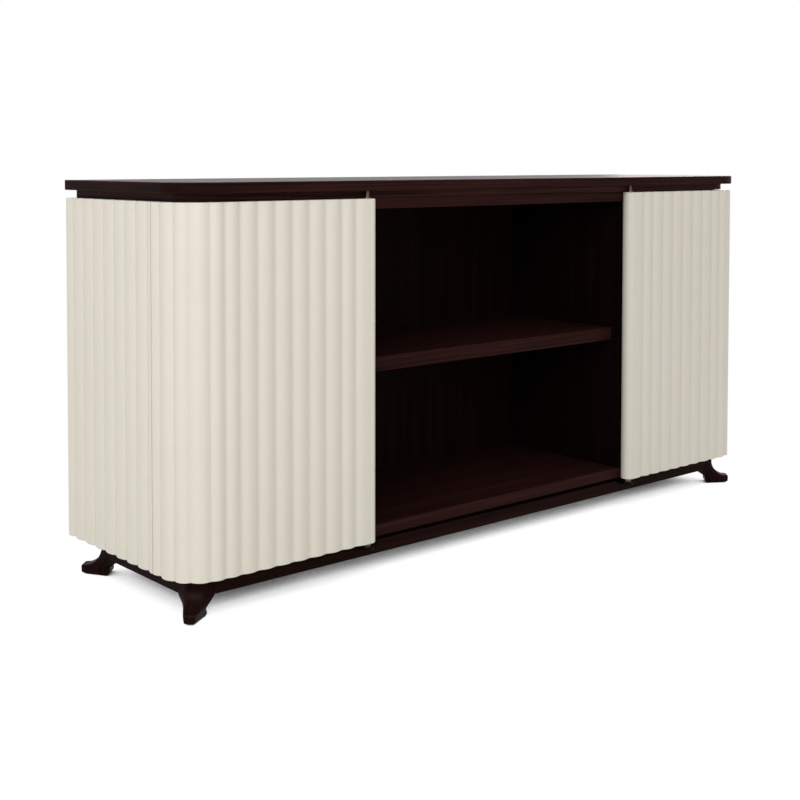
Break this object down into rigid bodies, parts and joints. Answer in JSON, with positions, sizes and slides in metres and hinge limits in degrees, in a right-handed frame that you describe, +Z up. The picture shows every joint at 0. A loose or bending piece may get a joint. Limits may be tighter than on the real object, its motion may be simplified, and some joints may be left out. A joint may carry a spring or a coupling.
{
  "type": "sideboard",
  "caption": "Low sideboard with an open shelved bay between two cupboards, whose cream reeded doors wrap the rounded front corners, on a dark base with small carved feet.",
  "frame": {"origin": "on the floor, under the middle of the top slab", "axes": "+X to the right along the front, +Y from the front to the back, +Z up"},
  "size_m": [1.604, 0.42, 0.756],
  "materials": {
    "cream_lacquer": "satin cream lacquer over reeded board",
    "dark_veneer": "semi-gloss dark stained veneer with fine straight grain",
    "dark_solid_wood": "semi-gloss dark stained solid wood",
    "dark_inner_board": "matte dark lacquered board",
    "dowel_wood": "plain beech",
    "steel": "bright zinc plated",
    "black_steel": "black oxide",
    "bush_bronze": "dull bronze",
    "washer_plastic": "black nylon",
    "magnet_plate": "nickel plated"
  },
  "bodies": {
    "carcass": {"left_reeded_side": "cream_lacquer", "right_reeded_side": "cream_lacquer", "top_slab": "dark_veneer", "sub_top": "dark_veneer", "centre_fascia": "dark_veneer", "floor_panel": "dark_veneer", "left_divider": "dark_veneer", "right_divider": "dark_veneer", "centre_back_panel": "dark_veneer", "bay_shelf": "dark_veneer", "front_rail": "dark_solid_wood", "back_rail": "dark_solid_wood", "left_rail": "dark_solid_wood", "right_rail": "dark_solid_wood", "front_left_foot": "dark_solid_wood", "front_right_foot": "dark_solid_wood", "back_left_foot": "dark_solid_wood", "back_right_foot": "dark_solid_wood", "left_carcass_side": "dark_inner_board", "right_carcass_side": "dark_inner_board", "left_back_panel": "dark_inner_board", "right_back_panel": "dark_inner_board", "back_cleats": "dark_inner_board", "left_cupboard_shelf": "dark_inner_board", "right_cupboard_shelf": "dark_inner_board", "spacer_strips": "dark_inner_board", "side_packers": "dark_inner_board", "rail_dowels": "dowel_wood", "bay_shelf_pins": "steel", "cupboard_shelf_pins": "steel", "foot_bolts": "steel", "slab_screws": "steel", "side_screws": "steel", "plate_screws": "steel", "top_pivot_pins": "steel", "bottom_pivot_pins": "steel", "pivot_plates": "black_steel", "thrust_washers": "washer_plastic", "door_magnets": "magnet_plate"},
    "left_door": {"left_door": "cream_lacquer", "left_door_bushes": "bush_bronze", "left_door_strikes": "steel"},
    "right_door": {"right_door": "cream_lacquer", "right_door_bushes": "bush_bronze", "right_door_strikes": "steel"}
  },
  "joints": [
    {"name": "left_door_hinge", "type": "hinge", "parent": "carcass", "child": "left_door", "pos_m": [-0.3875, -0.1925, 0.4], "axis": [0, 0, 1], "range_deg": [0, 95]},
    {"name": "right_door_hinge", "type": "hinge", "parent": "carcass", "child": "right_door", "pos_m": [0.3875, -0.1925, 0.4], "axis": [0, 0, -1], "range_deg": [0, 95]}
  ]
}
